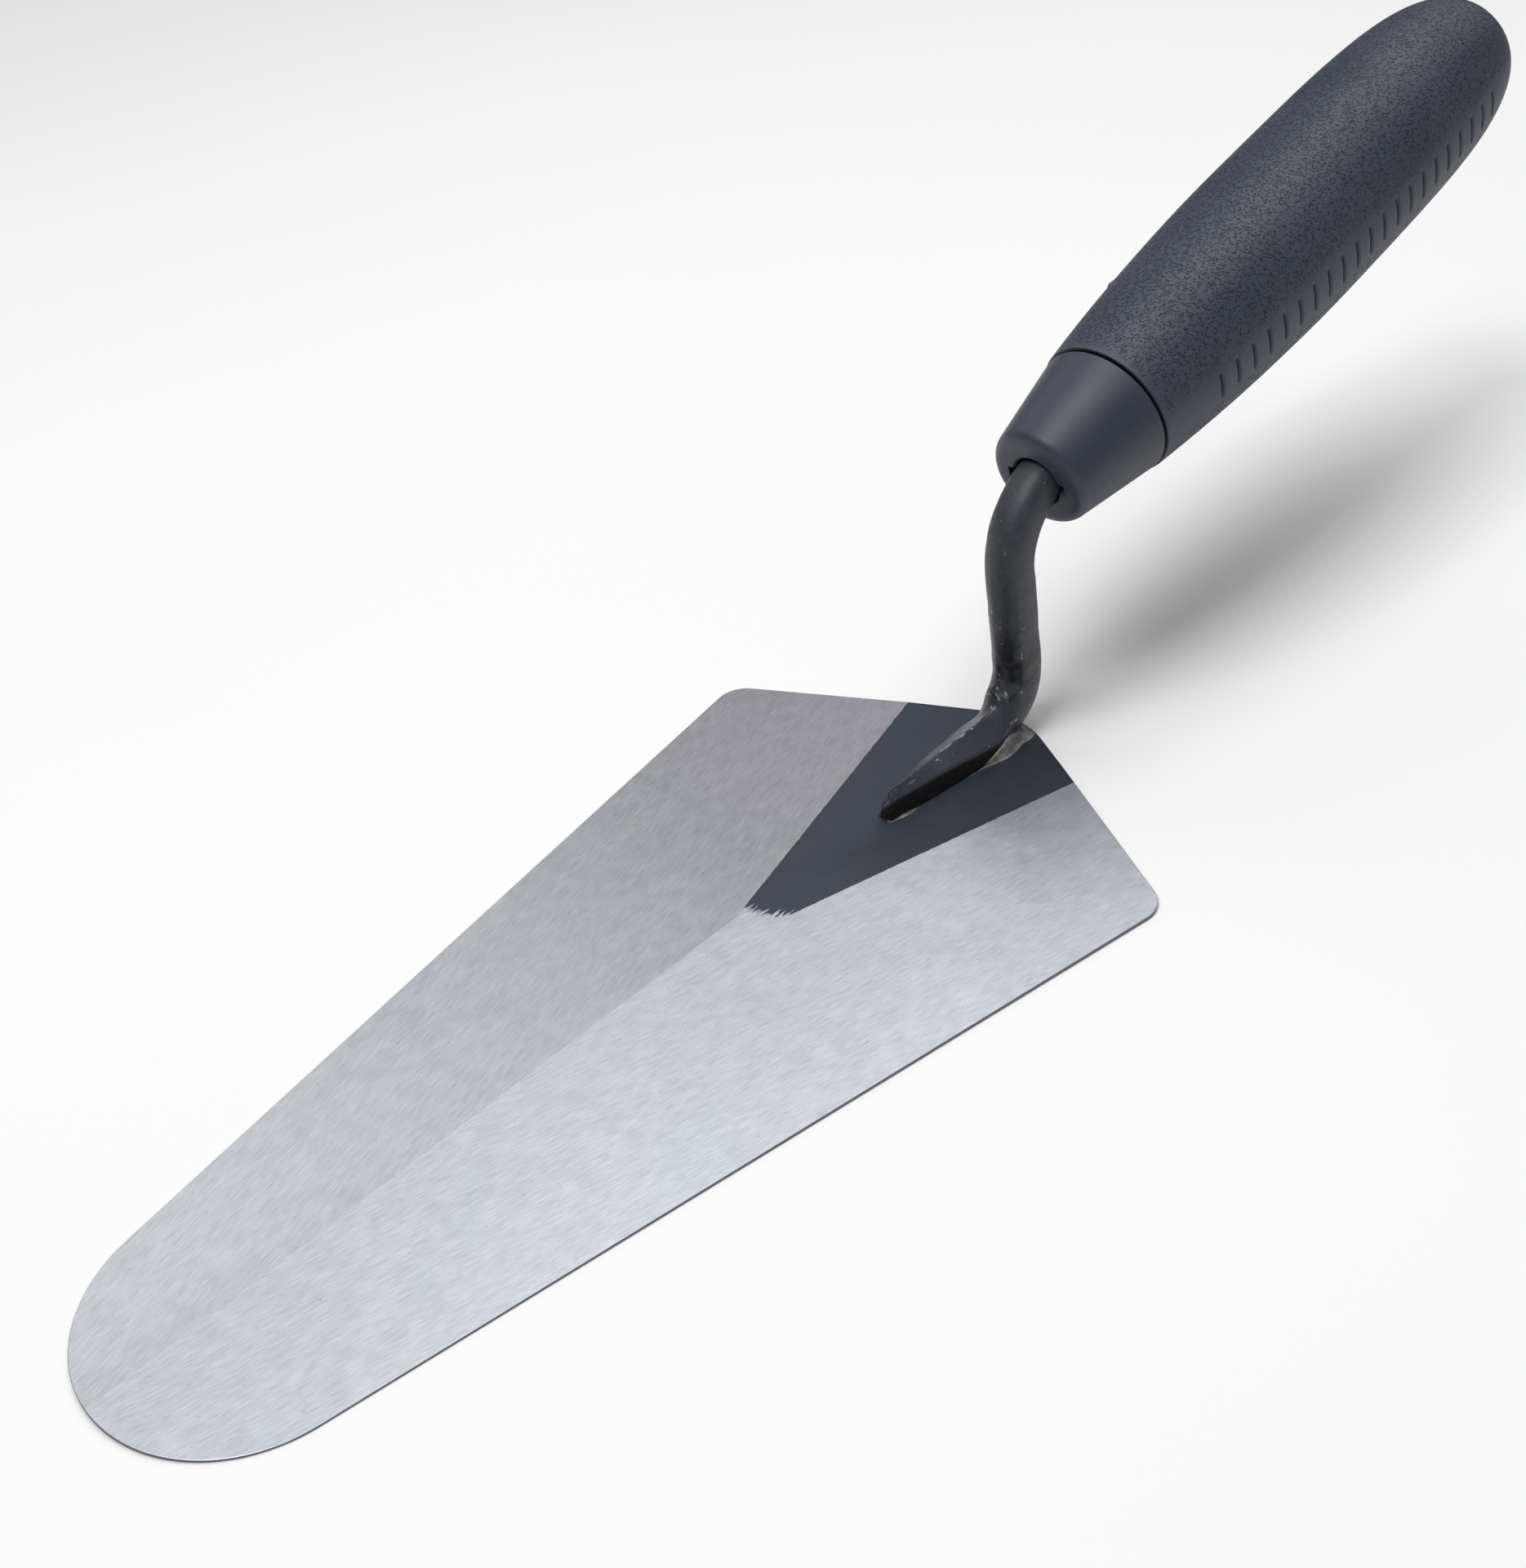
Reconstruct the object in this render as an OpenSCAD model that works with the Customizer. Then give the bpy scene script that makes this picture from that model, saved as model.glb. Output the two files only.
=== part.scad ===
// Round-nosed brick and gauging trowel: a ground steel blade, a forged cranked tang welded to
// its heel, and a two-part handle of a hard core and collar under a soft moulded grip.
//
// Frame: +X runs from the toe of the blade to the butt of the handle, and +Z is up. Y = 0 is
// the plane of symmetry of everything but the grind. The blade lies flat on Z = 0, and X = 0
// is half way along the tool.

/* [Blade] */
// Length of the blade from its toe to the point of its heel, before it is rounded
blade_l = 178; // [120:1:240]
// Width of the blade between its heel corners, before they are rounded
blade_w = 90; // [70:1:120]
// Thickness of the unground steel at the heel
blade_t = 1.6; // [1.4:0.1:3]
// How far the heel corners lie ahead of the point of the heel
heel_depth = 23.4; // [15:0.1:35]
// Radius of the rounded point of the heel
heel_r = 14; // [6:1:18]
// Radius of the round toe
toe_r = 21.5; // [12:0.5:34]
// Radius of each heel corner
corner_r = 5; // [2:0.5:8]
// Slope of the two ground facets, which thin the blade towards its edges
grind_slope = 1.5; // [0.5:0.1:1.6]
// Distance from the toe to where the two facets' upper edges cross
grind_apex_x = 112; // [100:0.5:120]
// How far to the left of the axis they cross, since the grind is not quite central
grind_apex_y = 2; // [-4:0.1:4]
// Angle between each facet's upper edge and the blade's axis
grind_edge_angle = 14.9; // [12:0.1:18]

/* [Tang] */
// Diameter of the tang's round neck
neck_d = 7.5; // [6:0.1:9]
// Distance from the toe to the neck's axis, where it would meet the blade
neck_x = 177.6; // [170:0.1:182]
// Angle that the neck leans forward from upright
neck_lean = 5.5; // [0:0.5:12]
// Bend radius where the neck rises from the foot
foot_bend_r = 7; // [5:0.5:9]
// Bend radius where the neck turns into the handle
top_bend_r = 12.5; // [8:0.5:13]
// Length of the foot from its nose to the bend
foot_l = 26.8; // [20:0.1:34]
// Half width of the foot's base at its nose and at its back
foot_half_w = [1.4, 4.25]; // [1.2:0.05:5]
// Height of the foot's side walls at its nose and at its back
foot_wall_h = [3.4, 2.7]; // [2:0.1:4]
// Height of the ridge along the foot's top at its nose and at its back
foot_ridge_h = [4.9, 5.3]; // [4.5:0.1:6]
// How far each side wall leans in at its top
foot_draft = 0.6; // [0:0.1:0.9]
// Length of the tail that the handle's core holds
tail_l = 84; // [60:1:92]
// Radius of the tail's end
tail_end_r = 2.6; // [2:0.1:3.5]
// Length, width across and thickness of the flat ears that stop the handle turning
ear_size = [8, 10.2, 1.8]; // [1:0.1:12]

/* [Weld] */
// Leg of the fillet weld round the back of the foot
weld_leg = 2.4; // [1.5:0.1:3]
// Length of the fillet along each side of the foot
weld_side_l = 10; // [6:1:16]

/* [Handle] */
// Angle that the handle rises from the blade
handle_tilt = 14.5; // [8:0.5:22]
// Height of the handle's axis above the blade, at the seam between collar and grip
seam_h = 47; // [40:0.5:60]
// Distance from the toe to the middle of that seam
seam_x = 198.5; // [190:0.5:205]
// Length of the collar ahead of the seam
collar_l = 17.8; // [14:0.1:18]
// Radius of the collar at the seam and at its front
collar_r = [11.6, 8.5]; // [7.5:0.1:13]
// Radius that rounds the collar's front lip
lip_r = 2; // [0.5:0.1:2.5]
// Length of the grip behind the seam
grip_l = 109; // [105:1:125]
// Radius of the grip at the seam and where it is thickest
grip_r = [11.8, 14.8]; // [11.8:0.1:17]
// Distance from the seam to the grip's thickest point
belly_s = 50; // [40:1:60]
// Squareness of the grip's rounded butt: 2 is an ellipse, and more is blunter
butt_power = 3.8; // [2:0.1:5]
// Radius of the hard core inside the grip
core_r = 8.6; // [8:0.1:9.2]

/* [Hidden] */
$fn = 72;

neck_r = neck_d / 2;
joint_lap = 1;               // how far joined stretches of the tang overlap
joint_step = 0.06;           // how much thinner the buried end is, so that it stays inside
heel_w = blade_w / 2;
heel_x = blade_l - heel_depth;
profile_steps = 28;
arc_steps = 24;
overcut = 1;                 // how far a cutting shape runs past the face it cuts
axis_gap_angle = 1;          // half angle of the tiny flats that close the blade's outline
seam_groove = 0.45;          // chamfer on each side of the seam
hole_gap = 0.45;             // radial gap between the tang and the collar's front hole

// The furthest point of the tilted grip sets the overall length.
overall_l = seam_x + max([for (i = [0 : profile_steps])
    grip_station(i) * cos(handle_tilt) + grip_radius(grip_station(i)) * sin(handle_tilt)]);

// The neck's straight line, and where it meets the foot's centreline and the handle's axis.
// Heights here are above the blade's upper face.
foot_mid_h = 3.2;
neck_dir = 90 + neck_lean;
function neck_at(h) = neck_x - h * tan(neck_lean);
top_x = (neck_at(seam_h) + seam_x * tan(handle_tilt) * tan(neck_lean))
    / (1 + tan(handle_tilt) * tan(neck_lean));
top_h = seam_h + (top_x - seam_x) * tan(handle_tilt);
foot_tangent = foot_bend_r * tan(neck_dir / 2);
top_turn = neck_dir - handle_tilt;
top_tangent = top_bend_r * tan(top_turn / 2);
neck_foot_h = foot_mid_h + foot_tangent * cos(neck_lean);
neck_top_h = top_h - top_tangent * cos(neck_lean);
neck_l = (neck_top_h - neck_foot_h) / cos(neck_lean);
foot_bend_x = neck_at(foot_mid_h) - foot_tangent;
nose_x = foot_bend_x - foot_l;

// Where the tail starts, measured along the handle's axis from the seam (negative is ahead).
tail_s = (top_x - seam_x) / cos(handle_tilt) + top_tangent;

// Where the foot is widest, and its top starts to ramp up into the neck
ramp_x = foot_bend_x - 2.5;
ridge_start = 2.7;           // from the nose to the front end of the ridge
slice_t = 0.2;               // thickness of the slices that the foot is drawn between

// The ears lie across the joint between collar and core, and their slot in the collar is open
// at the front, so that they can pass through it.
ear_s = -6;
ear_slot = [collar_l + 2 * overcut, ear_size[1] + 0.4, ear_size[2] + 0.4];

// The hard core inside the handle
spigot_l = 7;                // how far the core runs into the collar
spigot_r = 7.6;
core_l = 90;                 // from the seam to the middle of the core's round end
rib_s = 4;                   // from the seam to the start of the four ribs
rib_w = 1.6;
rib_r = 9.8;                 // radius of the ribs' tops

// Half angle of the blade's straight sides, which are tangent to the toe.
side_run = heel_x - toe_r;
side_angle = asin(heel_w / sqrt(side_run * side_run + heel_w * heel_w))
    - asin(toe_r / sqrt(side_run * side_run + heel_w * heel_w));
heel_angle = atan2(heel_w, heel_depth);

module in_row() {
    translate([-overall_l / 2, 0, 0]) children();
}

// Children are drawn with their own X along the handle's axis and X = 0 at the seam.
module on_handle() {
    in_row() translate([seam_x, 0, blade_t + seam_h]) rotate([0, -handle_tilt, 0]) children();
}

// A solid turned round the handle's axis from a profile of [distance, radius] points.
module turned(profile) {
    rotate([0, 90, 0]) rotate_extrude() polygon([for (p = profile) [p[1], p[0]]]);
}

module along_handle(from, to, r1, r2) {
    translate([from, 0, 0]) rotate([0, 90, 0]) cylinder(h = to - from, r1 = r1, r2 = r2);
}

// Distance of a profile point behind the seam. The points crowd together towards the butt.
function grip_station(i) = seam_groove + (grip_l - seam_groove) * sin(90 * i / profile_steps);

// Radius of the grip at a distance behind the seam: an arc up to the belly, and then a
// blunt superellipse down to the butt.
function grip_radius(s) = s < belly_s
    ? grip_r[1] - (grip_r[1] - grip_r[0]) * pow(1 - s / belly_s, 2)
    : grip_r[1] * pow(max(0, 1 - pow((s - belly_s) / (grip_l - belly_s), butt_power)),
        1 / butt_power);

// A bend of the tang in the plane of symmetry. The bend's centre is the origin, and it starts
// at the angle "from" above the X axis. Both ends run on, inside the stretches they join.
module bend(bend_r, from, turn) {
    lap = joint_lap / bend_r * 180 / PI;
    rotate([90, 0, 0]) rotate([0, 0, from - lap]) rotate_extrude(angle = turn + 2 * lap)
        translate([bend_r, 0]) circle(neck_r - joint_step);
}

// Points along an arc, from one angle to another.
function arc(centre, r, from, to, steps) =
    [for (i = [0 : steps]) let (a = from + (to - from) * i / steps) centre + r * [cos(a), sin(a)]];

function mirrored(points) =
    [for (i = [len(points) - 1 : -1 : 0]) [points[i][0], -points[i][1]]];

// One side of the blade from the toe to the point of the heel. Each circle touches the two
// straight edges it joins.
function blade_side() =
    let (tip = [heel_x, heel_w],
        flat = corner_r * tan((side_angle + heel_angle) / 2),
        on_side = tip - flat * [cos(side_angle), sin(side_angle)],
        centre = on_side + corner_r * [sin(side_angle), -cos(side_angle)])
    concat(arc([toe_r, 0], toe_r, 180 - axis_gap_angle, 90 + side_angle, arc_steps),
        arc(centre, corner_r, 90 + side_angle, 90 - heel_angle, arc_steps / 2),
        arc([blade_l - heel_r / sin(heel_angle), 0], heel_r, 90 - heel_angle, axis_gap_angle,
            arc_steps / 2));

module blade_outline() {
    polygon(concat(blade_side(), mirrored(blade_side())));
}

// Everything above the left ground facet. The facet starts at an edge that fans out from the
// origin towards the heel, and slopes down from it to the side and the toe.
module above_facet() {
    reach = 2 * blade_l;
    rotate([0, 0, grind_edge_angle]) rotate([-grind_slope, 0, 0])
        translate([-reach / 2, -reach / 2, 0]) cube([reach, reach, reach / 4]);
}

module blade() {
    color("silver") in_row() difference() {
        linear_extrude(blade_t) blade_outline();
        translate([grind_apex_x, grind_apex_y, blade_t])
            for (m = [0, 1]) mirror([0, m, 0]) above_facet();
    }
}

// A slice across the foot: two walls that lean in, and a roof with a ridge
module foot_slice(x, half_w, wall_h, ridge_h) {
    translate([x, 0, 0]) rotate([90, 0, 90]) linear_extrude(slice_t)
        polygon([[-half_w, 0], [half_w, 0], [half_w - foot_draft, wall_h], [0, ridge_h],
            [foot_draft - half_w, wall_h]]);
}

// The foot widens from its round nose to its back. Heights are above the blade's upper face.
module foot() {
    nose_r = foot_half_w[0];
    hull() {
        translate([nose_x + nose_r, 0, 0])
            cylinder(h = foot_wall_h[0], r1 = nose_r, r2 = nose_r - foot_draft, $fn = 32);
        foot_slice(nose_x + ridge_start, nose_r, foot_wall_h[0], foot_ridge_h[0]);
        foot_slice(ramp_x, foot_half_w[1], foot_wall_h[1], foot_ridge_h[1]);
    }
    // The ramp from the foot's back up to the round neck
    hull() {
        foot_slice(ramp_x - joint_lap, foot_half_w[1] - 3 * joint_step,
            foot_wall_h[1] - joint_step, foot_ridge_h[1] - joint_step);
        translate([foot_bend_x, 0, foot_mid_h]) rotate([0, 90, 0])
            cylinder(h = joint_lap, r = neck_r - 3 * joint_step, $fn = 32);
    }
}

module neck() {
    translate([foot_bend_x, 0, foot_mid_h + foot_bend_r]) bend(foot_bend_r, -90, neck_dir);
    translate([neck_at(neck_foot_h), 0, neck_foot_h]) rotate([0, -neck_lean, 0])
        cylinder(h = neck_l, r = neck_r);
    translate([neck_at(neck_top_h) + top_bend_r * cos(neck_lean), 0,
        neck_top_h + top_bend_r * sin(neck_lean)]) bend(top_bend_r, 90 + handle_tilt, top_turn);
}

module tail() {
    along_handle(tail_s - joint_lap / 2, tail_s + tail_l, neck_r - 2 * joint_step, tail_end_r);
    translate([ear_s, -ear_size[1] / 2, -ear_size[2] / 2]) cube(ear_size);
}

// The foot and neck, cut off flat where they stand on the blade
module foot_and_neck() {
    in_row() translate([0, 0, blade_t]) difference() {
        union() {
            foot();
            neck();
        }
        translate([0, -heel_w, -2 * neck_d]) cube([2 * blade_l, blade_w, 2 * neck_d]);
    }
}

module tang() {
    color([0.20, 0.21, 0.24]) union() {
        foot_and_neck();
        on_handle() tail();
    }
}

// A fillet along both sides of the foot's back and round behind the neck
module weld_bead() {
    color([0.45, 0.44, 0.43]) difference() {
        in_row() translate([0, 0, blade_t]) intersection() {
            union() {
                for (m = [0, 1]) mirror([0, m, 0])
                    translate([foot_bend_x - weld_side_l, neck_r, 0]) rotate([90, 0, 90])
                        linear_extrude(weld_side_l)
                            polygon([[-1, 0], [weld_leg, 0], [0, weld_leg], [-1, weld_leg]]);
                translate([foot_bend_x, 0, 0])
                    cylinder(h = weld_leg, r1 = neck_r + weld_leg, r2 = neck_r);
            }
            linear_extrude(weld_leg) blade_outline();
        }
        foot_and_neck();
    }
}

module collar() {
    flank_slope = (collar_r[0] - collar_r[1]) / collar_l;
    color([0.24, 0.26, 0.30]) on_handle() difference() {
        rotate([0, 90, 0]) rotate_extrude() {
            polygon([[0, -collar_l], [collar_r[1] - lip_r, -collar_l],
                [collar_r[1] + flank_slope * lip_r, lip_r - collar_l],
                [collar_r[0] - flank_slope * seam_groove, -seam_groove],
                [collar_r[0] - seam_groove, 0], [0, 0]]);
            translate([collar_r[1] - lip_r, lip_r - collar_l]) circle(lip_r);
        }
        along_handle(-collar_l - overcut, overcut, neck_r + hole_gap, neck_r + hole_gap);
        translate([-collar_l - overcut, -ear_slot[1] / 2, -ear_slot[2] / 2]) cube(ear_slot);
        along_handle(-spigot_l, overcut, spigot_r, spigot_r);
    }
}

// The outer shape of the hard core: a spigot for the collar, and a ribbed body for the grip
module core_shape() {
    along_handle(-spigot_l, overcut, spigot_r, spigot_r);
    along_handle(0, core_l, core_r, core_r);
    translate([core_l, 0, 0]) sphere(core_r);
    for (a = [45 : 90 : 315]) rotate([a, 0, 0])
        translate([rib_s, -rib_w / 2, 0]) cube([core_l - rib_s, rib_w, rib_r]);
}

module handle_core() {
    color([0.30, 0.31, 0.33]) on_handle() difference() {
        core_shape();
        tail();
    }
}

module grip_sleeve() {
    color([0.27, 0.29, 0.33]) on_handle() difference() {
        turned(concat([[0, 0], [0, grip_r[0] - seam_groove]],
            [for (i = [0 : profile_steps]) let (s = grip_station(i)) [s, grip_radius(s)]]));
        core_shape();
    }
}

blade();
tang();
weld_bead();
collar();
handle_core();
grip_sleeve();
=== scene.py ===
"""The looks of a round-nosed masonry trowel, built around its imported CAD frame.

Sizes below are in millimetres in the tool's own terms: x from the blade's toe towards the
handle, y to the left of the plane of symmetry, and h above the blade's upper face. Points on
the handle use s behind the seam between collar and grip, and r from the handle's axis.
"""
import math
import bmesh
import bpy
from mathutils import Matrix, Vector, noise

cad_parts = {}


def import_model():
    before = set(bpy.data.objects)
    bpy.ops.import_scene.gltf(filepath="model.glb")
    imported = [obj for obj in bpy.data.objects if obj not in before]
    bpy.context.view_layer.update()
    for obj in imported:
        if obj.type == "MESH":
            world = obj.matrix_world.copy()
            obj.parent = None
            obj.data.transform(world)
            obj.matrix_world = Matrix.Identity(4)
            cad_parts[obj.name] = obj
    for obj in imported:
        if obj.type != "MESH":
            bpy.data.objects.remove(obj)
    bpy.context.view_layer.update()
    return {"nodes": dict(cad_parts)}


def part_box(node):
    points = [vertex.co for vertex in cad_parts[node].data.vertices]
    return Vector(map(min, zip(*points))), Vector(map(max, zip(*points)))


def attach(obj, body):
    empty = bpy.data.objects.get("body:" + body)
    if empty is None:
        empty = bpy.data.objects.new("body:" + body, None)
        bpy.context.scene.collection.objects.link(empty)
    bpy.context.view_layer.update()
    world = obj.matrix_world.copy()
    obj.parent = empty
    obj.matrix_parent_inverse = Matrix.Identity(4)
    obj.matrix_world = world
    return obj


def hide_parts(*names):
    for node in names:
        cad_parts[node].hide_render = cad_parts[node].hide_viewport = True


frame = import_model()

MM = 0.001
blade_low, blade_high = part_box("blade")
toe_x = blade_low.x
blade_top = blade_high.z
BLADE_T = blade_top / MM

# Blade
HEEL_TIP = 178.0             # the point of the heel, before it is rounded
HEEL_HALF_W = 45.0           # before the corners are rounded
HEEL_DEPTH = 23.4
HEEL_R = 14.0                # of the rounded point
TOE_R = 21.5
CORNER_R = 5.0
GRIND_APEX = (112.0, 2.0)    # where the upper edges of the two ground facets cross
GRIND_EDGE = math.radians(14.9)
GRIND_SLOPE = math.radians(1.5)
GRAIN_ANGLE = math.radians(12.5)
LACQUER_X = (104.3, 103.0)   # where the lacquered patch's left and right edges start
LACQUER_FRONT = 110.7        # where its brushed-through front end starts
EDGE_ROUND = 0.13            # width of the rounding along its rims

# Tang
NECK_R = 3.75
NECK_X = 177.6               # the neck's axis, produced down to the blade
NECK_LEAN = math.radians(5.5)
NECK_SQUARE = 2.25           # power of the slightly squared round: 2 is a circle
FOOT_BEND_R = 7.0
TOP_BEND_R = 12.5
FOOT_MID_H = 3.2
FOOT_L = 26.8
FOOT_NOSE_R = 1.4
FOOT_HALF_W = 4.25           # at the back of the foot
FOOT_WAIST = 1.0             # how far each side draws in under the bend
FOOT_DRAFT = 0.6             # how far each wall leans in at its top
FOOT_WALL_H = (3.4, 2.6)     # at the nose and at the back
FOOT_RIDGE_H = (4.85, 5.3)   # at the nose and at the back
FOOT_SKEW = 0.2              # how far to the right the foot's middle lies
FOOT_SINK = 0.2              # how far the foot and weld reach into the blade
TAIL_L = 84.0
TAIL_END_R = 2.6
TAIL_SQUARE = 2.1            # as NECK_SQUARE

# Weld
WELD_BACK_X = 1.7            # from the end of the foot to the middle of the weld's round back
WELD_LAP = 0.8               # how far it runs in under the tang
WELD_SINK = 0.02
WELD_CURL = 2.1              # power of the fillet's hollow
HEEL_MARGIN = 0.12           # bare steel between the weld and the heel's edge
# The fillet's height and width: in front, and what the nose, the rear sides and the back add
WELD_LINE = (0.18, 0.22)
WELD_NOSE = (0.30, 0.45)
WELD_SIDE = (1.6, 1.6)
WELD_BACK = (0.8, 3.0)

# Handle
TILT = math.radians(14.5)
SEAM = Vector((198.5, 0, 47.0))
COLLAR_L = 17.8
COLLAR_R = (11.6, 8.5)       # at the seam and, but for its lip, at the front
LIP_R = 2.0
HOLE_R = 4.2
HOLE_CHAMFER = 0.35
GRIP_L = 109.0
GRIP_R = (11.8, 14.8)        # at the seam and at the belly
BELLY_S = 50.0               # where the belly is
BUTT_POWER = 3.8             # of the curve from belly to butt: 2 is an ellipse
SEAM_ROUND = 0.30            # radius on each side of the seam
SEAM_GAP = 0.16
SPIGOT_L = 7.0
SPIGOT_R = 7.65
EAR_SLOT = (10.6, 2.2)       # width and height
EAR_SLOT_R = 0.35            # of its corners

# The grip's moulded details. Angles run from the grip's top towards its right-hand side.
DASHES = 21
DASH_START = 13.0
DASH_PITCH = 4.0
DASH_W = 1.0
DASH_L = 5.0
DASH_DEPTH = 0.65
BAND_ANGLE = math.radians(90)
SKIN_PITCH = 0.70            # spacing of the grip texture's grooves
SKIN_DEPTH = 0.07
NUB_S = 18.5
NUB_ANGLE = math.radians(306)
NUB_SIZE = (0.65, 0.5)       # along the grip and round it
NUB_H = 0.28

# Linear colours. A pair is the two ends of a surface's uneven colour.
LACQUER = ((0.017, 0.024, 0.038, 1), (0.038, 0.047, 0.068, 1))
LACQUER_PAINTED_SHADE = (0.013, 0.018, 0.029, 1)
BURNISHED_STEEL = (0.66, 0.61, 0.55, 1)
SHEARED_STEEL_AND_PAINTED_SHADE = (0.105, 0.085, 0.110, 1)
COOL_TINT = (0.98, 1.0, 1.04, 1)
MOTTLE_TINT = ((0.985, 1.0, 1.05, 1), (1.0, 1.0, 1.02, 1))
HEEL_TINT_AND_PAINTED_LIGHT = (1.20, 1.14, 1.22, 1)
TOE_PAINTED_LIGHT = (1.13, 1.13, 1.16, 1)
CHIPPED_STEEL = (0.40, 0.42, 0.45, 1)
TANG_LACQUER = ((0.039, 0.043, 0.056, 1), (0.048, 0.052, 0.067, 1))
TANG_BLOTCH_AND_PAINTED_REFLECTION = (0.016, 0.017, 0.020, 1)
TANG_WALL_SHADE_AND_STAIN = ((0.008, 0.008, 0.009, 1), (0.030, 0.022, 0.017, 1))
STAINED_WELD = ((0.13, 0.115, 0.095, 1), (0.27, 0.235, 0.185, 1))
BARE_WELD_AND_PAINTED_SHEEN = ((0.135, 0.128, 0.130, 1), (0.245, 0.240, 0.243, 1))
LACQUER_DARK_WELD = (0.026, 0.030, 0.040, 1)
COLLAR_COLOUR = ((0.033, 0.041, 0.060, 1), (0.041, 0.049, 0.069, 1))
CORE_COLOUR = ((0.030, 0.033, 0.039, 1), (0.042, 0.046, 0.054, 1))
GRIP_COLOUR = ((0.037, 0.048, 0.070, 1), (0.047, 0.058, 0.082, 1))
SKIN_GROOVE_PAINTED_SHADE = (0.012, 0.015, 0.022, 1)
DASH_SHADE = (0.006, 0.007, 0.009, 1)
SEAM_SHADE = (0.004, 0.004, 0.005, 1)

# Each lamp's direction from the tool's middle, distance and size in metres, and watts
LAMPS = {
    "key": ((-0.40, 0.05, 0.90), 1.0, 0.40, 4.6),
    "overhead": ((0.20, 0.0, 1.0), 0.9, 0.6, 3.3),
    "far_side": ((0.10, 0.75, 0.65), 1.0, 0.7, 1.05),
    "behind": ((0.70, 0.10, 0.70), 1.0, 0.6, 1.6),
}
WORLD_STRENGTH = 0.13

HANDLE_AXIS = Vector((math.cos(TILT), 0, math.sin(TILT)))
HANDLE_UP = Vector((-math.sin(TILT), 0, math.cos(TILT)))
LEFT = Vector((0, 1, 0))


def to_row(p):
    """A point in the tool's own millimetres, as metres in the row frame."""
    return Vector((toe_x + p[0] * MM, p[1] * MM, blade_top + p[2] * MM))


def on_handle(s, r, angle):
    """A point at an angle round the handle, from its top towards the right-hand side."""
    out = math.cos(angle) * HANDLE_UP - math.sin(angle) * LEFT
    return SEAM + s * HANDLE_AXIS + r * out


def smooth(low, high, x):
    t = min(1.0, max(0.0, (x - low) / (high - low)))
    return t * t * (3 - 2 * t)


def grip_radius(s):
    if s < BELLY_S:
        return GRIP_R[1] - (GRIP_R[1] - GRIP_R[0]) * (1 - s / BELLY_S) ** 2
    u = min(1.0, (s - BELLY_S) / (GRIP_L - BELLY_S))
    return GRIP_R[1] * (1 - u ** BUTT_POWER) ** (1 / BUTT_POWER)


# ---------------------------------------------------------------- mesh helpers

def in_scene(name, data):
    """A new object in the scene, for a mesh, a light or a camera."""
    obj = bpy.data.objects.new(name, data)
    bpy.context.scene.collection.objects.link(obj)
    return obj


def mesh_object(name, bm):
    """A new object from a bmesh, with its faces turned outwards."""
    bmesh.ops.recalc_face_normals(bm, faces=bm.faces[:])
    mesh = bpy.data.meshes.new(name)
    bm.to_mesh(mesh)
    bm.free()
    return in_scene(name, mesh)


def piece(name, bm, node, material):
    """A finished object from a bmesh, riding on the tool and standing for a CAD node."""
    obj = mesh_object(name, bm)
    obj.data.materials.append(material)
    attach(obj, "root")
    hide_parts(node)
    return obj


def loft(bm, rings, closed=False):
    """Joins rings of points with quads, and caps the ends or closes the last on the first.

    All the rings have the same number of points. Returns their vertices.
    """
    made = [[bm.verts.new(p) for p in ring] for ring in rings]
    pairs = list(zip(made, made[1:]))
    if closed:
        pairs.append((made[-1], made[0]))
    for a, b in pairs:
        for i in range(len(a)):
            j = (i + 1) % len(a)
            bm.faces.new((a[i], a[j], b[j], b[i]))
    if not closed:
        bm.faces.new(made[0][::-1])
        bm.faces.new(made[-1])
    return made


def shade_smooth(bm):
    for face in bm.faces:
        face.smooth = True


def spread(start, end, steps):
    """Evenly spaced values from a start up to, but not including, an end."""
    return [start + (end - start) * i / steps for i in range(steps)]


def arc(centre, r, start, end, steps):
    """Points on an arc in the plane, with angles in radians."""
    angles = [start + (end - start) * i / steps for i in range(steps + 1)]
    return [(centre[0] + r * math.cos(a), centre[1] + r * math.sin(a)) for a in angles]


def apply_modifiers(obj):
    """Replaces an object's mesh with its evaluated one."""
    evaluated = obj.evaluated_get(bpy.context.evaluated_depsgraph_get())
    mesh = bpy.data.meshes.new_from_object(evaluated)
    obj.modifiers.clear()
    obj.data = mesh


# ---------------------------------------------------------------- node helpers

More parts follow.
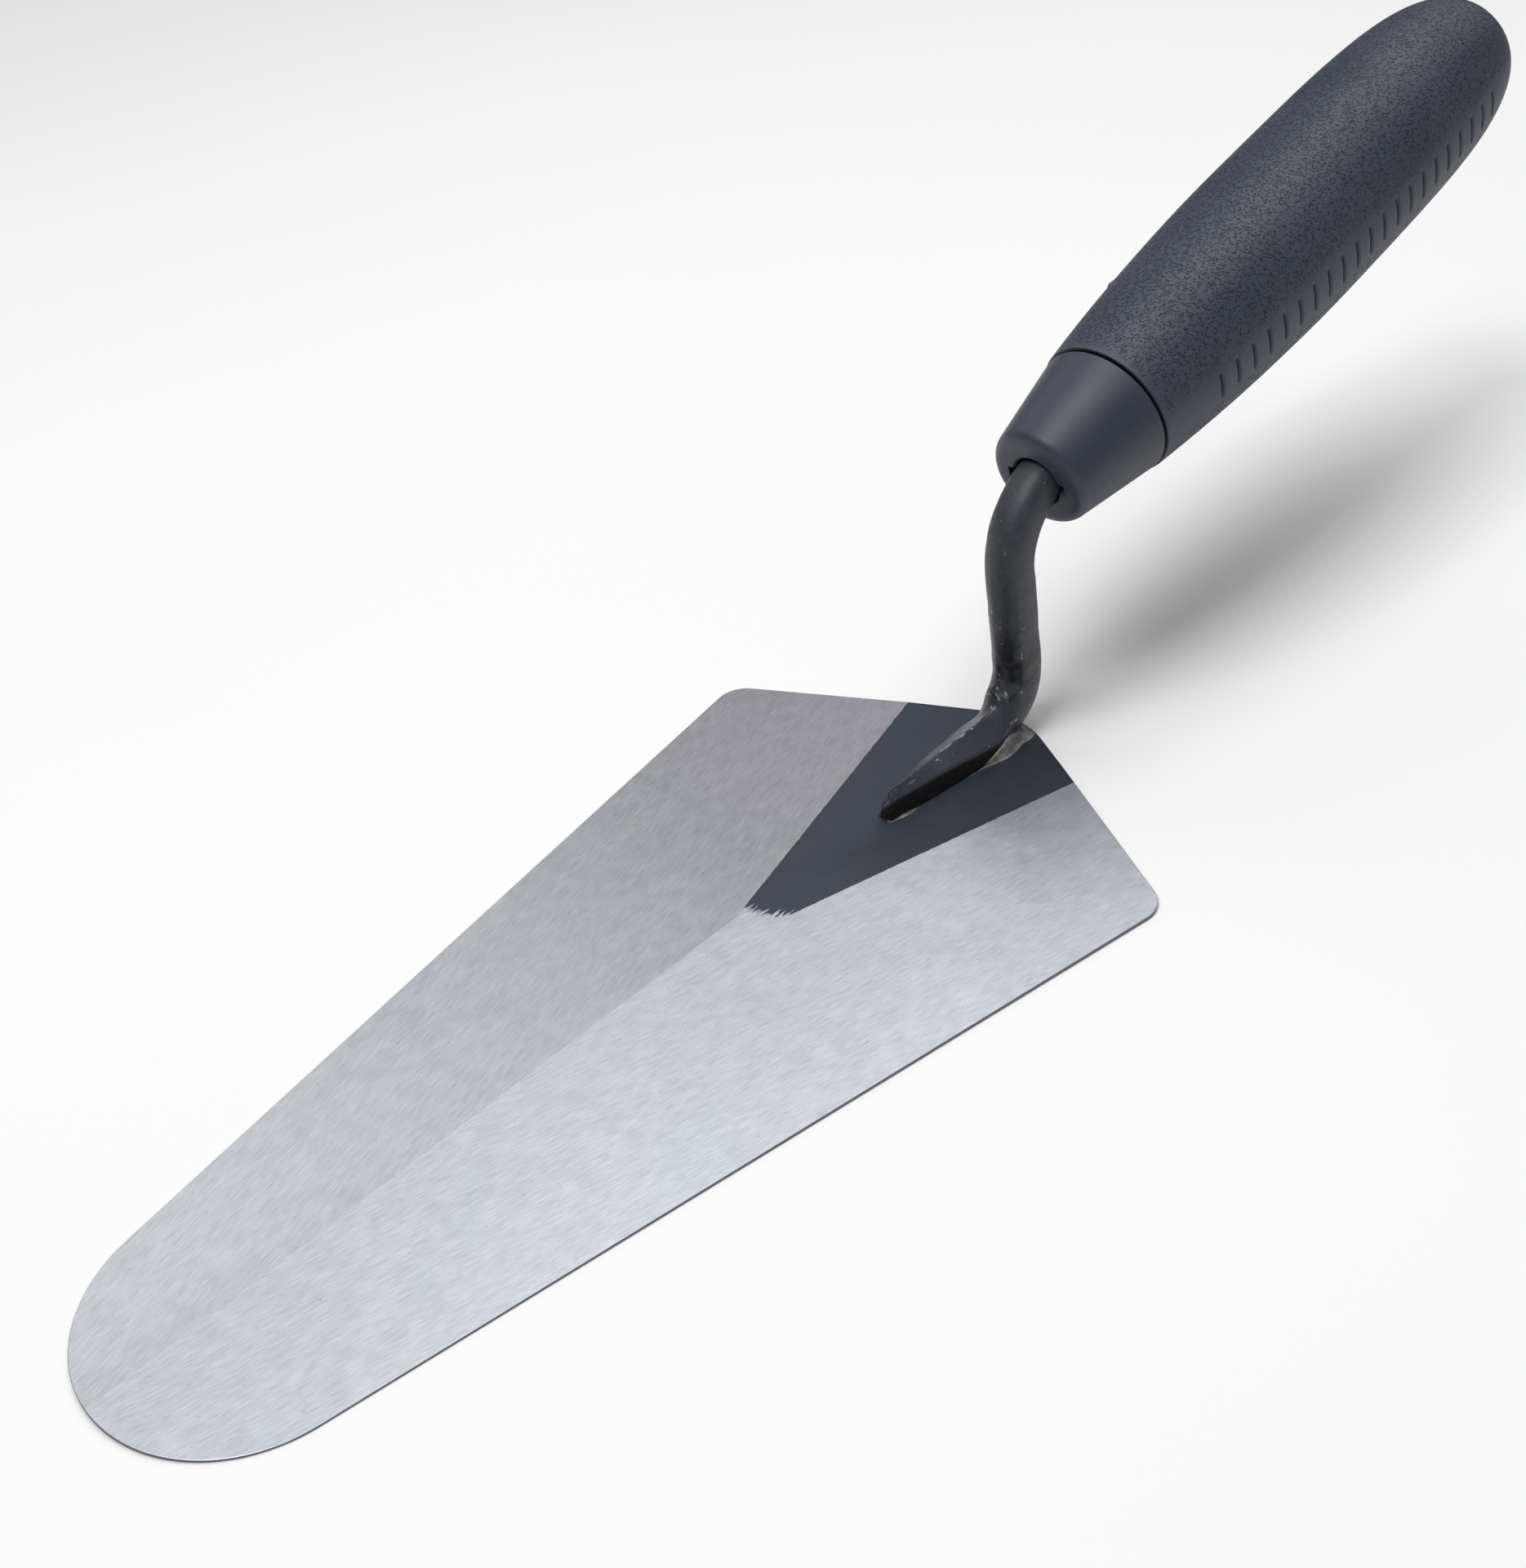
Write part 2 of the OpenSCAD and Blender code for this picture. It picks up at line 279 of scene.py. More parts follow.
class Nodes:
    """A short way to write a shader or geometry node tree."""

    def __init__(self, tree):
        self.tree = tree

    def add(self, kind, inputs=(), **settings):
        node = self.tree.nodes.new(kind)
        for key, value in settings.items():
            setattr(node, key, value)
        for key, value in dict(inputs).items():
            self.join(value, node.inputs[key])
        return node

    def join(self, value, socket):
        if isinstance(value, bpy.types.NodeSocket):
            self.tree.links.new(value, socket)
        else:
            socket.default_value = value

    def math(self, operation, a, b=0.0):
        node = self.add("ShaderNodeMath", operation=operation)
        self.join(a, node.inputs[0])
        self.join(b, node.inputs[1])
        return node.outputs[0]

    def times(self, a, b):
        return self.math("MULTIPLY", a, b)

    def plus(self, a, b):
        return self.math("ADD", a, b)

    def minus(self, a, b):
        return self.math("SUBTRACT", a, b)

    def vector(self, operation, a, b=(0, 0, 0)):
        node = self.add("ShaderNodeVectorMath", operation=operation)
        self.join(a, node.inputs[0])
        if operation == "SCALE":
            self.join(b, node.inputs["Scale"])
        else:
            self.join(b, node.inputs[1])
        return node.outputs["Value"] if operation == "DOT_PRODUCT" else node.outputs[0]

    def noise(self, vector, scale, detail=2.0, rough=0.5, distort=0.0):
        node = self.add("ShaderNodeTexNoise", {"Vector": vector, "Scale": scale,
            "Detail": detail, "Roughness": rough, "Distortion": distort})
        return node.outputs[0]

    def ramp(self, value, low, high, to_low=0.0, to_high=1.0):
        """A smooth step from one number to another, where a value goes from low to high."""
        node = self.add("ShaderNodeMapRange", interpolation_type="SMOOTHSTEP")
        for i, v in enumerate((value, low, high, to_low, to_high)):
            self.join(v, node.inputs[i])
        return node.outputs[0]

    def mix(self, factor, a, b, blend="MIX"):
        """The first colour turned into the second, or blended with it, by a factor."""
        node = self.add("ShaderNodeMix", data_type="RGBA", blend_type=blend)
        self.join(factor, node.inputs[0])
        self.join(a, node.inputs[6])
        self.join(b, node.inputs[7])
        return node.outputs[2]

    def combine(self, x, y):
        return self.add("ShaderNodeCombineXYZ", {0: x, 1: y}).outputs[0]

    def separate(self, vector):
        return self.add("ShaderNodeSeparateXYZ", {0: vector}).outputs

    def bump(self, height, distance, strength=1.0, normal=None):
        node = self.add("ShaderNodeBump",
            {"Height": height, "Distance": distance, "Strength": strength})
        if normal is not None:
            self.join(normal, node.inputs["Normal"])
        return node.outputs[0]


def material(name):
    made = bpy.data.materials.new(name)
    made.use_nodes = True
    made.node_tree.nodes.clear()
    return made, Nodes(made.node_tree)


def show(nodes, shader):
    nodes.add("ShaderNodeOutputMaterial", {"Surface": shader.outputs[0]})


def tool_position(nodes):
    """Object coordinates as the tool's own millimetres: x from the toe, y left, h up."""
    here = nodes.add("ShaderNodeTexCoord").outputs["Object"]
    moved = nodes.vector("SUBTRACT", here, (toe_x, 0, blade_top))
    return nodes.vector("SCALE", moved, 1 / MM)


def uv_position(nodes, name):
    """A UV map's coordinates, which hold millimetres along the surface."""
    return nodes.add("ShaderNodeUVMap", uv_map=name).outputs[0]


def vertex_value(nodes, name):
    """A number that the mesh holds at each vertex."""
    return nodes.add("ShaderNodeAttribute", attribute_name=name).outputs["Fac"]


def grey(value, warm=0.0):
    """A near-neutral colour. Positive warm leans to red, and negative to blue."""
    return (value * (1 + warm), value, value * (1 - warm), 1)


# ---------------------------------------------------------------- blade

def blade_outline():
    """The blade's outline, clockwise from the heel's point, as (x, y)."""
    heel_x = HEEL_TIP - HEEL_DEPTH
    run = math.hypot(heel_x - TOE_R, HEEL_HALF_W)
    side = math.asin(HEEL_HALF_W / run) - math.asin(TOE_R / run)
    heel = math.atan2(HEEL_HALF_W, HEEL_DEPTH)
    flat = CORNER_R * math.tan((side + heel) / 2)
    centre = (heel_x - flat * math.cos(side) + CORNER_R * math.sin(side),
        HEEL_HALF_W - flat * math.sin(side) - CORNER_R * math.cos(side))
    quarter = math.pi / 2
    point = (HEEL_TIP - HEEL_R / math.sin(heel), 0)
    left = arc(point, HEEL_R, 0, quarter - heel, 16)
    left += arc(centre, CORNER_R, quarter - heel, quarter + side, 14)
    left += arc((TOE_R, 0), TOE_R, quarter + side, math.pi, 40)
    return left + [(x, -y) for x, y in left[-2:0:-1]]


def facet_plane(side):
    """A point on, and the normal of, the ground facet on the left (1) or the right (-1)."""
    edge = Vector((math.cos(GRIND_EDGE), side * math.sin(GRIND_EDGE), 0))
    down = Vector((-side * edge.y, side * edge.x, 0)) * math.cos(GRIND_SLOPE)
    down.z = -math.sin(GRIND_SLOPE)
    normal = edge.cross(down)
    if normal.z < 0:
        normal.negate()
    return to_row((*GRIND_APEX, 0)), normal


def grain_uv(bm):
    """Lays each face out in millimetres, with U across its grinding marks and V along them."""
    layer = bm.loops.layers.uv.new("grain")
    for face in bm.faces:
        middle = face.calc_center_median()
        on_facet = face.normal.z > 0.999 and middle.z < blade_top - 0.05 * MM
        on_edge = abs(face.normal.z) < 0.5
        turn = math.copysign(GRAIN_ANGLE, middle.y - GRIND_APEX[1] * MM) if on_facet else 0.0
        along = Vector((math.cos(turn), math.sin(turn), 0))
        if on_edge:
            along = face.normal.cross(Vector((0, 0, 1))).normalized()
        across = face.normal.cross(along).normalized()
        for loop in face.loops:
            p = loop.vert.co / MM
            loop[layer].uv = (p.dot(across), p.dot(along))


def blade():
    bm = bmesh.new()
    outline = blade_outline()
    sharp, small_face = math.radians(60), 400 * MM * MM
    loft(bm, [[to_row((x, y, h)) for x, y in outline] for h in (-BLADE_T, 0)])
    bmesh.ops.recalc_face_normals(bm, faces=bm.faces[:])
    for side in (1, -1):
        point, normal = facet_plane(side)
        cut = bmesh.ops.bisect_plane(bm, geom=bm.verts[:] + bm.edges[:] + bm.faces[:],
            dist=1e-7, plane_co=point, plane_no=normal, clear_outer=True)
        edges = [e for e in cut["geom_cut"] if isinstance(e, bmesh.types.BMEdge)]
        bmesh.ops.edgenet_fill(bm, edges=edges)
    bmesh.ops.recalc_face_normals(bm, faces=bm.faces[:])
    rims = [e for e in bm.edges if len(e.link_faces) == 2 and e.calc_face_angle() > sharp]
    bmesh.ops.bevel(bm, geom=rims, offset=EDGE_ROUND * MM, segments=3, profile=0.5,
        affect="EDGES", clamp_overlap=True)
    for face in bm.faces:
        face.smooth = face.calc_area() < small_face
    grain_uv(bm)
    return piece("blade_plate", bm, "blade", blade_steel())


def ground_finish(nodes, uv):
    """Fine and broad grinding marks, where the UV map runs across and along them."""
    across, along, _ = nodes.separate(uv)
    drawn_out = nodes.combine(nodes.times(across, 4.5), nodes.times(along, 0.32))
    fine = nodes.noise(drawn_out, 1.0, 4.0, 0.62)
    drawn_out = nodes.combine(nodes.times(across, 0.8), nodes.times(along, 0.11))
    broad = nodes.noise(drawn_out, 1.0, 3.0, 0.6)
    return fine, broad


def speck_mask(nodes, uv, size, share):
    """Sparse dark specks, drawn out along the grain."""
    across, along, _ = nodes.separate(uv)
    drawn_out = nodes.combine(nodes.times(across, 2.6 / size), nodes.times(along, 1.1 / size))
    spots = nodes.noise(drawn_out, 1.0, 1.0, 0.4)
    return nodes.ramp(spots, 1 - share, 1 - share + 0.05)


def inside_edge(nodes, place, start_x, side):
    """How far a point lies inside the lacquered patch's edge on the left (1) or right (-1)."""
    x, y, _ = nodes.separate(place)
    return nodes.minus(nodes.times(nodes.minus(x, start_x), math.sin(GRIND_EDGE)),
        nodes.times(y, side * math.cos(GRIND_EDGE)))


def lacquer_mask(nodes, place):
    """1 on the lacquered patch between the facets, whose front end the grinding cut ragged."""
    x, y, h = nodes.separate(place)
    inside = nodes.math("MINIMUM", inside_edge(nodes, place, LACQUER_X[0], 1),
        inside_edge(nodes, place, LACQUER_X[1], -1))
    uneven = nodes.minus(nodes.noise(place, 0.9, 3.0), 0.5)
    sides = nodes.ramp(nodes.plus(inside, nodes.times(uneven, 0.3)), -0.02, 0.12)
    drawn_out = nodes.combine(nodes.times(x, 0.22), nodes.times(y, 2.4))
    streaks = nodes.noise(drawn_out, 1.0, 3.0, 0.65)
    tip = nodes.plus(nodes.plus(x, nodes.times(y, 0.5)), nodes.times(streaks, -9.0))
    front = nodes.ramp(tip, LACQUER_FRONT, LACQUER_FRONT + 0.5)
    upper_face = nodes.ramp(h, -0.5 * BLADE_T, -0.4 * BLADE_T)
    return nodes.times(nodes.times(sides, front), upper_face)


def steel_tint_and_painted_light(nodes, place, mottle, cloud):
    """The steel's faint tints, and painted light: the left facet lightens towards the heel,
    with a pinkish cast there, and towards the toe.
    """
    x, y, _ = nodes.separate(place)
    mottled = nodes.mix(nodes.ramp(mottle, 0.40, 0.62), *MOTTLE_TINT)
    hue = nodes.mix(nodes.ramp(cloud, 0.35, 0.65), COOL_TINT, mottled)
    # Painted light on the left facet, near the heel and near the toe.
    heel = nodes.times(nodes.ramp(x, 105, 160), nodes.ramp(y, -5, 20))
    toe = nodes.times(nodes.ramp(x, 75, 20), nodes.ramp(y, -2, 12))
    hue = nodes.mix(heel, hue, HEEL_TINT_AND_PAINTED_LIGHT)
    return nodes.mix(toe, hue, TOE_PAINTED_LIGHT)


def burnish_mask(nodes, place):
    """1 along the thin tan line where the left facet meets the lacquer."""
    left = inside_edge(nodes, place, LACQUER_X[0], 1)
    line = nodes.times(nodes.ramp(left, -0.42, -0.25), nodes.ramp(left, 0.3, 0.1))
    return nodes.times(line, nodes.ramp(nodes.separate(place)[0], 112, 120))


def sheared_and_shade_mask(nodes):
    """How much darker the blade's thin edge is, all round it: partly dark sheared metal, partly
    painted shade.
    """
    facing = nodes.separate(nodes.add("ShaderNodeNewGeometry").outputs["True Normal"])[2]
    return nodes.ramp(nodes.math("ABSOLUTE", facing), 0.6, 0.2, 0.0, 0.85)


def blade_steel():
    made, nodes = material("ground_blade_steel")
    place = tool_position(nodes)
    uv = uv_position(nodes, "grain")
    fine, broad = ground_finish(nodes, uv)
    cloud = nodes.noise(place, 0.045, 3.0, 0.55)
    mottle = nodes.noise(place, 0.28, 4.0, 0.62)
    tone = nodes.plus(nodes.times(fine, 0.66), nodes.times(broad, 0.14))
    tone = nodes.plus(tone, nodes.times(mottle, 0.20))
    bright = nodes.mix(nodes.ramp(tone, 0.36, 0.64), grey(0.49, -0.03), grey(0.63, -0.03))
    specks = speck_mask(nodes, uv, 0.7, 0.26)
    coloured = nodes.mix(1.0, bright, steel_tint_and_painted_light(nodes, place, mottle, cloud), "MULTIPLY")
    coloured = nodes.mix(nodes.times(specks, 0.55), coloured, grey(0.16))
    burnish = nodes.times(burnish_mask(nodes, place), 0.5)
    coloured = nodes.mix(burnish, coloured, BURNISHED_STEEL)
    # The thin edge is dark all round: partly sheared metal, partly painted shade.
    coloured = nodes.mix(sheared_and_shade_mask(nodes), coloured, SHEARED_STEEL_AND_PAINTED_SHADE)
    rough = nodes.plus(0.30, nodes.times(tone, 0.16))
    rough = nodes.plus(rough, nodes.times(specks, 0.15))
    normal = nodes.bump(fine, 0.010 * MM, 1.0)
    normal = nodes.bump(mottle, 0.02 * MM, 0.8, normal)
    normal = nodes.bump(cloud, 0.25 * MM, 0.6, normal)
    across_grain = nodes.add("ShaderNodeTangent", direction_type="UV_MAP", uv_map="grain")
    steel = nodes.add("ShaderNodeBsdfPrincipled", {"Base Color": coloured, "Metallic": 1.0,
        "Roughness": rough, "Anisotropic": 0.75, "Normal": normal,
        "Tangent": across_grain.outputs[0]})
    lacquer = lacquer_shader(nodes, place)
    both = nodes.add("ShaderNodeMixShader",
        {0: lacquer_mask(nodes, place), 1: steel.outputs[0], 2: lacquer.outputs[0]})
    show(nodes, both)
    return made


def lacquer_shader(nodes, place):
    """Thin blue-black lacquer with a faint brushed unevenness, and painted shade that darkens
    it to the right of the foot, towards the heel.
    """
    fleck = nodes.noise(place, 5.0, 3.0, 0.7)
    drift = nodes.noise(place, 0.22, 2.0, 0.5)
    colour = nodes.mix(nodes.ramp(fleck, 0.3, 0.7), *LACQUER)
    x, y, _ = nodes.separate(place)
    # Painted shade: the lacquer darkens to the right of the foot, towards the heel.
    right = nodes.ramp(nodes.plus(y, nodes.times(drift, 3.0)), 4.0, -3.0)
    shade = nodes.times(right, nodes.ramp(x, 122, 142))
    colour = nodes.mix(shade, colour, LACQUER_PAINTED_SHADE)
    rough = nodes.plus(0.50, nodes.times(nodes.minus(drift, 0.5), 0.2))
    normal = nodes.bump(fleck, 0.01 * MM, 0.8)
    normal = nodes.bump(drift, 0.15 * MM, 0.5, normal)
    return nodes.add("ShaderNodeBsdfPrincipled",
        {"Base Color": colour, "Roughness": rough, "Normal": normal})


# ---------------------------------------------------------------- tang

def foot_bend_x():
    """Where the foot ends and the bend up into the neck starts."""
    return NECK_X - FOOT_MID_H * math.tan(NECK_LEAN) \
        - FOOT_BEND_R * math.tan((math.pi / 2 + NECK_LEAN) / 2)


def neck_corner():
    """Where the neck's straight line meets the handle's axis."""
    t = math.tan(NECK_LEAN) * math.tan(TILT)
    x = (NECK_X - SEAM.z * math.tan(NECK_LEAN) + SEAM.x * t) / (1 + t)
    return Vector((x, 0, SEAM.z + (x - SEAM.x) * math.tan(TILT)))


def foot_half_width(u):
    """Half width of the foot at a distance behind its nose."""
    if u < FOOT_NOSE_R:
        return math.sqrt(max(0.0, FOOT_NOSE_R ** 2 - (FOOT_NOSE_R - u) ** 2))
    back_l, swell, waist_l = 5.4, 0.85, 2.5
    share = min(1, (u - FOOT_NOSE_R) / (FOOT_L - back_l)) ** swell
    return FOOT_NOSE_R + (FOOT_HALF_W - FOOT_NOSE_R) * share \
        - FOOT_WAIST * smooth(FOOT_L - waist_l, FOOT_L + waist_l, u)


def nose_rise(u, length):
    """A quarter round, from 0 at the foot's nose up to 1 at a length behind it."""
    return math.sqrt(max(0.0, 1 - max(0.0, 1 - u / length) ** 2))


def foot_section(u):
    """Corners of the foot's house-shaped section: base, left wall, ridge, right wall."""
    nose_h, top_round, base_round = 2.0, 3.0, 0.9
    w = max(0.05, foot_half_width(u))
    top_w = max(0.04, w - FOOT_DRAFT * min(1.0, w))
    over, under = nose_rise(u, top_round), nose_rise(u, base_round)
    ridge = FOOT_RIDGE_H[0] + (FOOT_RIDGE_H[1] - FOOT_RIDGE_H[0]) * min(1, u / FOOT_L)
    wall = FOOT_WALL_H[0] + (FOOT_WALL_H[1] - FOOT_WALL_H[0]) * smooth(13, 24, u)
    ridge = nose_h + (ridge - nose_h) * over
    wall = nose_h + (wall - nose_h) * over
    base = nose_h - (nose_h + FOOT_SINK) * under
    skew = FOOT_SKEW * (smooth(16, 25, u) - 1)
    return [(skew - w, base), (skew + w, base), (skew + top_w, wall), (skew, ridge),
        (skew - top_w, wall)]


# Points round the tang's section between one corner and the next, and where those corners
# lie on the round neck.
SECTION_STEPS = (28, 12, 24, 24, 12)
NECK_CORNERS = [math.radians(a) for a in (-149, -31, 6, 90, 174, 211)]


def house_ring(corners):
    """Points along a house-shaped section, with its corners slightly rounded."""
    ring = []
    for k, steps in enumerate(SECTION_STEPS):
        a, b = Vector(corners[k]), Vector(corners[(k + 1) % 5])
        ring += [a.lerp(b, i / steps) for i in range(steps)]
    for _ in range(2):
        ring = [(ring[i - 1] + 2 * p + ring[(i + 1) % len(ring)]) / 4
            for i, p in enumerate(ring)]
    return ring


def round_ring(r, square):
    """Points of a slightly squared circle, which match those of house_ring."""
    ring = []
    for k, steps in enumerate(SECTION_STEPS):
        for i in range(steps):
            a = NECK_CORNERS[k] + (NECK_CORNERS[k + 1] - NECK_CORNERS[k]) * i / steps
            c, t = math.cos(a), math.sin(a)
            ring.append(Vector((r * math.copysign(abs(c) ** (2 / square), c),
                r * math.copysign(abs(t) ** (2 / square), t))))
    return ring


def tang_rings():
    """The tang's rings of points from nose to tail, each with its centre."""
    foot_steps, bend_steps, neck_steps, tail_steps = 110, 40, 50, 30
    first_u, crowding = 0.01, 1.4
    rings = []
    nose_x = foot_bend_x() - FOOT_L
    neck_ring = round_ring(NECK_R, NECK_SQUARE)

    def sweep(centre, ahead, ring):
        up = ahead.cross(LEFT)
        rings.append((centre, [centre + p.x * LEFT + p.y * up for p in ring]))

    def foot_ring(u):
        house = [p - Vector((0, FOOT_MID_H)) for p in house_ring(foot_section(u))]
        roundness = smooth(FOOT_L - 2.0, FOOT_L + 5.0, u)
        return [p.lerp(q, roundness) for p, q in zip(house, neck_ring)]

    for i in range(foot_steps + 1):
        u = first_u + (FOOT_L - first_u) * (i / foot_steps) ** crowding
        sweep(Vector((nose_x + u, 0, FOOT_MID_H)), Vector((1, 0, 0)), foot_ring(u))
    turn = math.pi / 2 + NECK_LEAN
    middle = Vector((foot_bend_x(), 0, FOOT_MID_H + FOOT_BEND_R))
    for i in range(1, bend_steps + 1):
        a = turn * i / bend_steps
        sweep(middle + FOOT_BEND_R * Vector((math.sin(a), 0, -math.cos(a))),
            Vector((math.cos(a), 0, math.sin(a))), foot_ring(FOOT_L + FOOT_BEND_R * a))
    start = rings[-1][0]
    up = Vector((-math.sin(NECK_LEAN), 0, math.cos(NECK_LEAN)))
    bend_turn = turn - TILT
    stop = neck_corner() - TOP_BEND_R * math.tan(bend_turn / 2) * up
    for i in range(1, neck_steps):
        sweep(start.lerp(stop, i / neck_steps), up, neck_ring)
    middle = stop + TOP_BEND_R * Vector((math.cos(NECK_LEAN), 0, math.sin(NECK_LEAN)))
    for i in range(neck_steps + 1):
        a = turn - bend_turn * i / neck_steps
        sweep(middle + TOP_BEND_R * Vector((-math.sin(a), 0, math.cos(a))),
            Vector((math.cos(a), 0, math.sin(a))), neck_ring)
    start = rings[-1][0]
    for i in range(1, tail_steps + 1):
        share = i / tail_steps
        sweep(start + HANDLE_AXIS * (TAIL_L * share), HANDLE_AXIS,
            round_ring(NECK_R + (TAIL_END_R - NECK_R) * share, TAIL_SQUARE))
    return rings


def dented(rings, walked):
    """The tang's rings with the shallow dents of a forging, and a lump on the foot's nose."""
    lump = Vector((foot_bend_x() - FOOT_L + 2.0, -FOOT_SKEW, 4.7))
    lump_r, lump_h = 0.8, 0.30
    near_blade = FOOT_L + 12
    foot_dent, more_on_neck = 0.035, 0.075
    bent = []
    for u, (centre, ring) in zip(walked, rings):
        depth = foot_dent + more_on_neck * smooth(FOOT_L - 3, FOOT_L + 3, u)
        moved = []
        for p in ring:
            dent = noise.noise(p * 0.25) * depth + noise.noise(p * 0.8) * depth * 0.3
            dent += lump_h * math.exp(-((p - lump).length / lump_r) ** 2)
            q = p + (p - centre).normalized() * dent
            if u < near_blade:
                q.z = max(q.z, -FOOT_SINK)
            moved.append(q)
        bent.append(moved)
    return bent


def mark_wear(made, walked, wear, wall):
    """Marks the tang's vertices: where its lacquer chips, and which lie on the foot's walls."""
    eave, ridge, end = (sum(SECTION_STEPS[:k]) for k in (2, 3, 4))
    ridge_wear, bend_wear, nose_wear = 1.5, 0.35, 0.8
    for u, ring in zip(walked, made):
        along = smooth(10, 14, u) * (1 - smooth(24, 26, u))
        bend = math.exp(-((u - FOOT_L - 3) / 5) ** 2)
        nose = math.exp(-((u - 1.0) / 2.0) ** 2)
        before_bend = 1 - smooth(FOOT_L - 3.0, FOOT_L + 0.5, u)
        for i, v in enumerate(ring):
            edge = math.exp(-((i - ridge) / 1.6) ** 2)
            roof = smooth(eave - 1.5, eave + 0.5, i) * (1 - smooth(end - 0.5, end + 1.5, i))
            v[wear] = max(ridge_wear * edge * along, bend_wear * bend, nose_wear * nose)
            v[wall] = (1 - roof) * before_bend


def tang():
    bm = bmesh.new()
    wear = bm.verts.layers.float.new("wear")
    wall = bm.verts.layers.float.new("wall")
    rings = tang_rings()
    walked = [0.0]
    for a, b in zip(rings, rings[1:]):
        walked.append(walked[-1] + (b[0] - a[0]).length)
    made = loft(bm, [[to_row(p) for p in ring] for ring in dented(rings, walked)])
    shade_smooth(bm)
    path_uv(bm, made, walked)
    mark_wear(made, walked, wear, wall)
    return piece("tang_forging", bm, "tang", tang_lacquer())


def path_uv(bm, rings, walked):
    """UVs in millimetres for a lofted bar: U round it, and V along it."""
    layer = bm.loops.layers.uv.new("path")
    sides = len(rings[0])
    girth = 2 * math.pi * NECK_R
    where = {v: (walked[k], i) for k, ring in enumerate(rings) for i, v in enumerate(ring)}
    for face in bm.faces:
        wraps = {where[l.vert][1] for l in face.loops} == {0, sides - 1}
        for loop in face.loops:
            u, i = where[loop.vert]
            turn = i / sides + (1 if wraps and i == 0 else 0)
            loop[layer].uv = (turn * girth, u)


def tang_lacquer():
    made, nodes = material("chipped_black_lacquer")
    place = tool_position(nodes)
    h = nodes.separate(place)[2]
    across, along, _ = nodes.separate(uv_position(nodes, "path"))
    wear = vertex_value(nodes, "wear")
    wall = vertex_value(nodes, "wall")
    grain = nodes.noise(place, 1.4, 4.0, 0.6)
    blotch = nodes.noise(place, 0.42, 3.0, 0.6)
    fleck = nodes.noise(place, 6.0, 3.0, 0.7)
    on_neck = nodes.ramp(h, 4.5, 8.0)
    colour = nodes.mix(nodes.ramp(grain, 0.3, 0.7), *TANG_LACQUER)
    # Dark blotches, strongest low on the neck: partly uneven lacquer, partly a painted dark
    # reflection.
    dark = nodes.times(nodes.ramp(blotch, 0.45, 0.55), on_neck)
    dark = nodes.times(dark, nodes.ramp(h, 15, 24, 1.0, 0.30))
    colour = nodes.mix(dark, colour, TANG_BLOTCH_AND_PAINTED_REFLECTION)
    # The foot's walls are painted much darker than its roof, as painted shade, with brown
    # stains mixed in.
    stain = nodes.ramp(nodes.noise(place, 0.9, 3.0, 0.6), 0.50, 0.66)
    colour = nodes.mix(wall, colour, nodes.mix(stain, *TANG_WALL_SHADE_AND_STAIN))
    drawn_out = nodes.combine(across, nodes.times(along, 0.5))
    scratch = nodes.noise(drawn_out, 1.0, 3.0, 0.55, 0.3)
    patches = nodes.noise(place, 0.20, 2.0, 0.6)
    likely = nodes.plus(scratch, nodes.times(wear, 0.17))
    likely = nodes.plus(likely, nodes.ramp(patches, 0.40, 0.65, -0.05, 0.03))
    likely = nodes.minus(likely, nodes.times(wall, 0.10))
    chips = nodes.ramp(likely, 0.665, 0.725)
    worn = nodes.mix(chips, colour, CHIPPED_STEEL)
    rough = nodes.plus(nodes.ramp(h, 14, 42, 0.27, 0.44), nodes.times(grain, 0.12))
    normal = nodes.bump(grain, 0.02 * MM, 0.5)
    normal = nodes.bump(fleck, 0.006 * MM, 0.5, normal)
    normal = nodes.bump(chips, -0.03 * MM, 0.8, normal)
    show(nodes, nodes.add("ShaderNodeBsdfPrincipled", {"Base Color": worn,
        "Metallic": nodes.times(chips, 0.6), "Roughness": rough, "Normal": normal}))
    return made


# ---------------------------------------------------------------- weld

def foot_track():
    """The line where the tang meets the blade, from the nose down the right side, round the
    back and up the left side: point, outward direction, and the fillet's height and width."""
    side_steps, turn_steps, reach = 80, 24, 3
    first_u = 0.3
    nose_x = foot_bend_x() - FOOT_L
    turn_u = FOOT_L + WELD_BACK_X
    rear_r = foot_half_width(turn_u) - 0.1
    side = []
    for i in range(side_steps + 1):
        u = first_u + (turn_u - first_u) * i / side_steps
        side.append((nose_x + u, foot_half_width(u), 0.0))
    for i in range(1, turn_steps + 1):
        a = math.pi / 2 * i / turn_steps
        side.append((nose_x + turn_u + rear_r * math.sin(a), rear_r * math.cos(a),
            i / turn_steps))
    track = [(x, -y, t) for x, y, t in side] + [(x, y, t) for x, y, t in side[-2::-1]]
    rows = []
    for i, (x, y, t) in enumerate(track):
        a, b = track[max(0, i - reach)], track[min(len(track) - 1, i + reach)]
        out = Vector((b[1] - a[1], a[0] - b[0], 0)).normalized()
        heavy = smooth(nose_x + 19, nose_x + 27, x)
        nose = math.exp(-((x - nose_x - 3.5) / 2.2) ** 2) * smooth(1.0, -0.5, y)
        wavy = 1 + 0.08 * noise.noise(Vector((x * 0.3, y * 0.2, 3.0)))
        high, wide = ((line + bulge * nose + heavy * (side + back * t)) * wavy
            for line, bulge, side, back in zip(WELD_LINE, WELD_NOSE, WELD_SIDE, WELD_BACK))
        rows.append((Vector((x, y, 0)), out, high, wide))
    return rows


